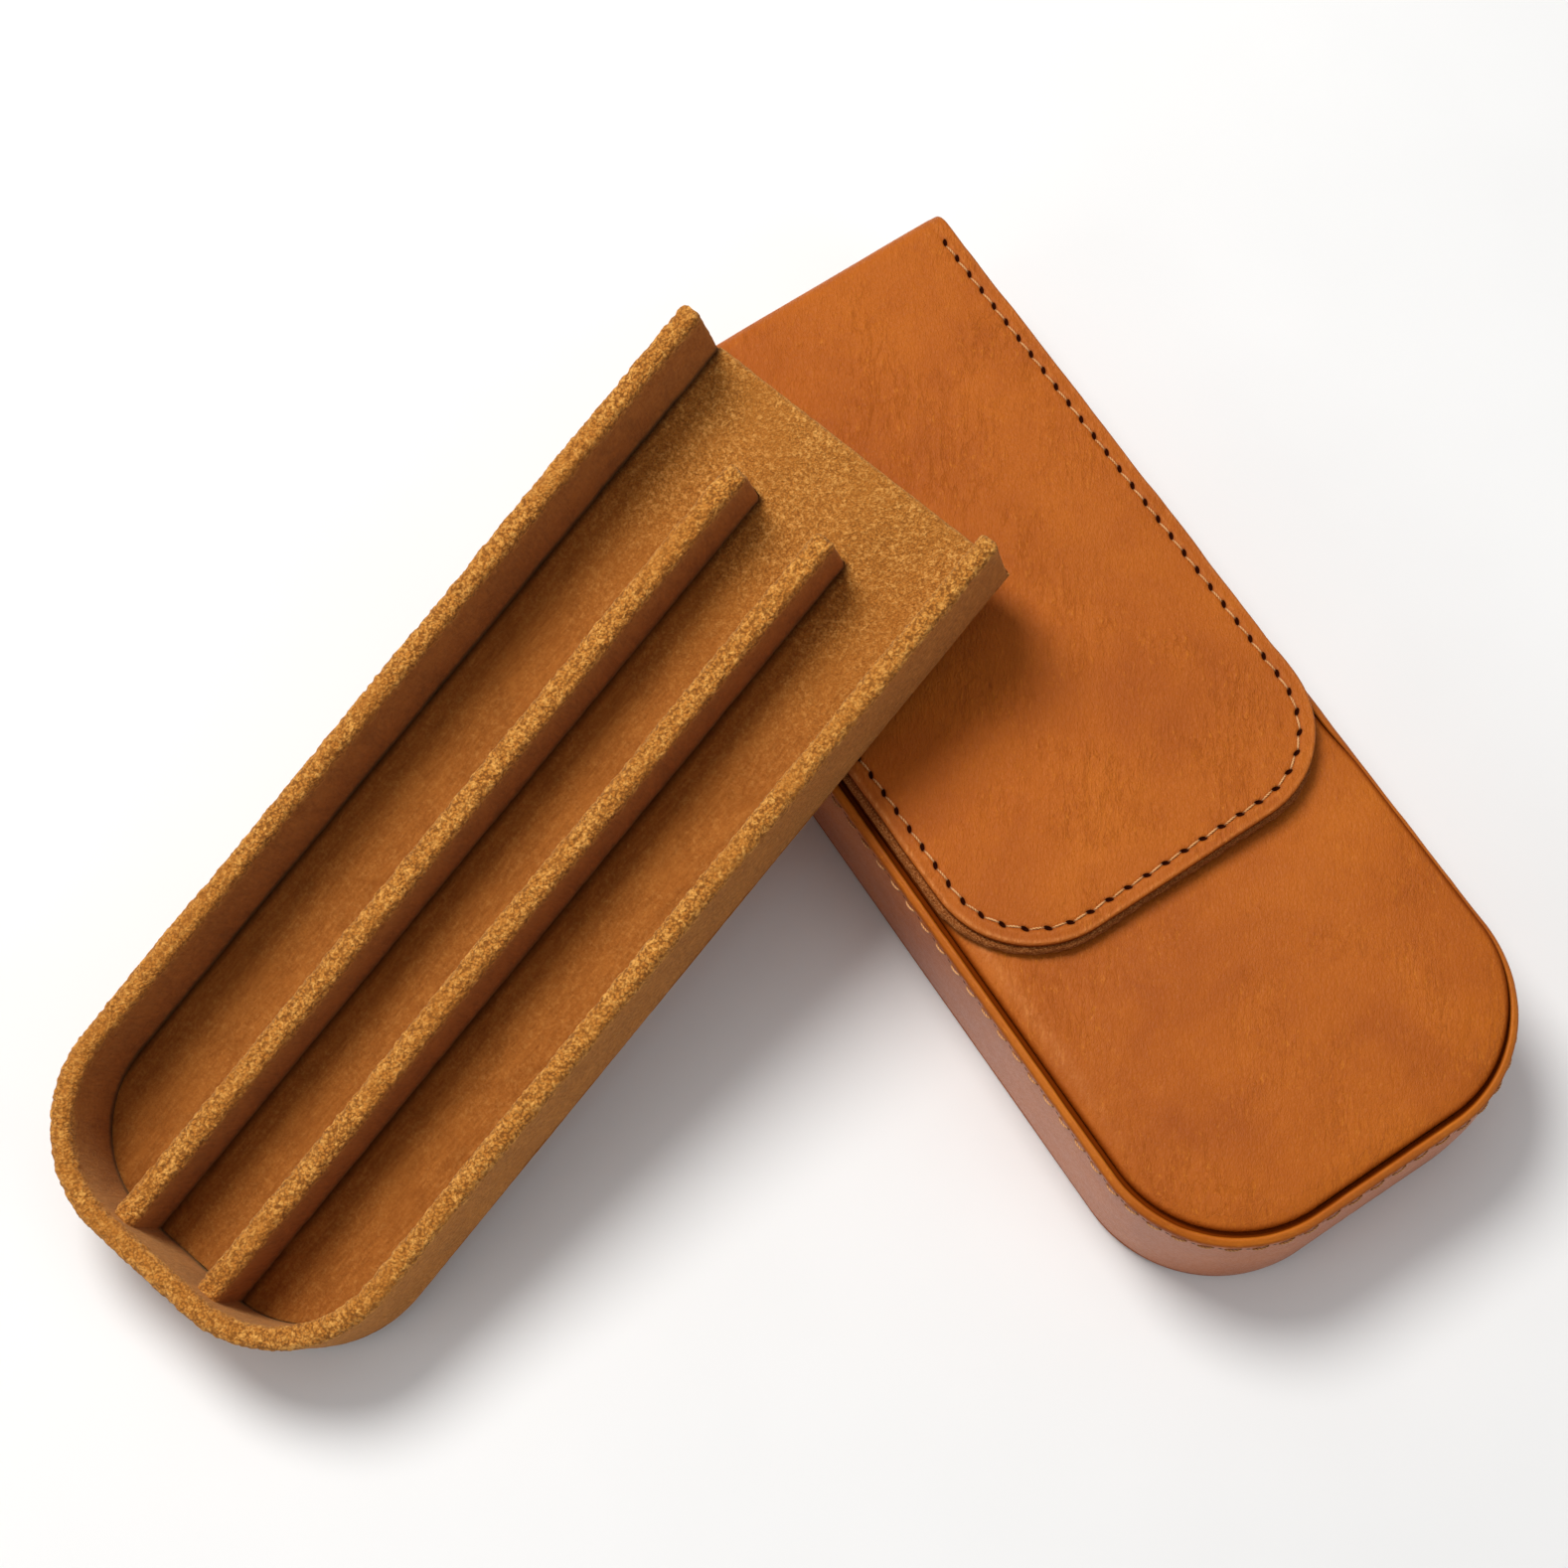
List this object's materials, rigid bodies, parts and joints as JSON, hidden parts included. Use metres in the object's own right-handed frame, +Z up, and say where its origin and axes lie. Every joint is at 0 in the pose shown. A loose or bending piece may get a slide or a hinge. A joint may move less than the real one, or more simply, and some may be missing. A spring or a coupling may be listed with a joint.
{
  "type": "fountain pen case",
  "caption": "Box-style leather pen case with a fold-over flap and a removable suede pen tray divided into slots, the tray leaning out across the closed case.",
  "frame": {"origin": "centre of the case's flat back face, which rests on the table", "axes": "+X across the case, +Y along the case from its rounded foot to the folded mouth end, +Z up through the front panel and the flap"},
  "size_m": [0.2094, 0.1762, 0.0598],
  "materials": {
    "tan_leather": "smooth vegetable-tanned cowhide, satin",
    "tan_leather_flap": "smooth vegetable-tanned cowhide, satin, raw cut edge",
    "tan_leather_piping": "rolled edge of the same cowhide",
    "lining_suede": "thin brown pigskin suede lining, matte",
    "flap_lining_suede": "flesh-side split leather, matte and fuzzy",
    "tray_suede": "golden-brown suede with a short granular nap",
    "tray_rim_suede": "golden-brown suede, raised nap over the rims",
    "grey_board": "pressed grey board, hidden",
    "tan_thread": "waxed tan sewing thread",
    "magnet_steel": "nickel-plated disc magnet, hidden"
  },
  "bodies": {
    "case": {"back_leather": "tan_leather", "back_board": "grey_board", "back_lining": "lining_suede", "side_band_leather": "tan_leather", "side_band_board": "grey_board", "side_band_lining": "lining_suede", "front_leather": "tan_leather", "front_board": "grey_board", "front_lining": "lining_suede", "front_magnet": "magnet_steel", "front_piping": "tan_leather_piping", "side_band_stitching": "tan_thread"},
    "flap_spine": {"spine_leather": "tan_leather_flap", "spine_lining": "flap_lining_suede"},
    "flap": {"flap_leather": "tan_leather_flap", "flap_lining": "flap_lining_suede", "flap_stiffener": "grey_board", "flap_magnet": "magnet_steel", "flap_stitching": "tan_thread"},
    "tray": {"tray_base_suede": "tray_suede", "tray_wall_suede": "tray_rim_suede", "tray_wall_board": "grey_board", "tray_floor_board": "grey_board", "tray_floor_suede": "tray_suede", "divider_left_suede": "tray_rim_suede", "divider_left_core": "grey_board", "divider_right_suede": "tray_rim_suede", "divider_right_core": "grey_board"}
  },
  "joints": [
    {"name": "tray_lift_off", "type": "slide", "parent": "case", "child": "tray", "axis": [-0.5, 0, 0.866], "range_m": [0, 0.29]},
    {"name": "flap_back_fold", "type": "hinge", "parent": "case", "child": "flap_spine", "pos_m": [0, 0.087, 0.001], "axis": [-1, 0, 0], "range_deg": [0, 90]},
    {"name": "flap_front_fold", "type": "hinge", "parent": "flap_spine", "child": "flap", "pos_m": [0, 0.087, 0.0291], "axis": [-1, 0, 0], "range_deg": [0, 90]}
  ],
  "couplings": [
    {"joint": "flap_back_fold", "follows": "tray_lift_off", "rad_per_m": 5.4165},
    {"joint": "flap_front_fold", "follows": "tray_lift_off", "rad_per_m": 5.4165}
  ]
}
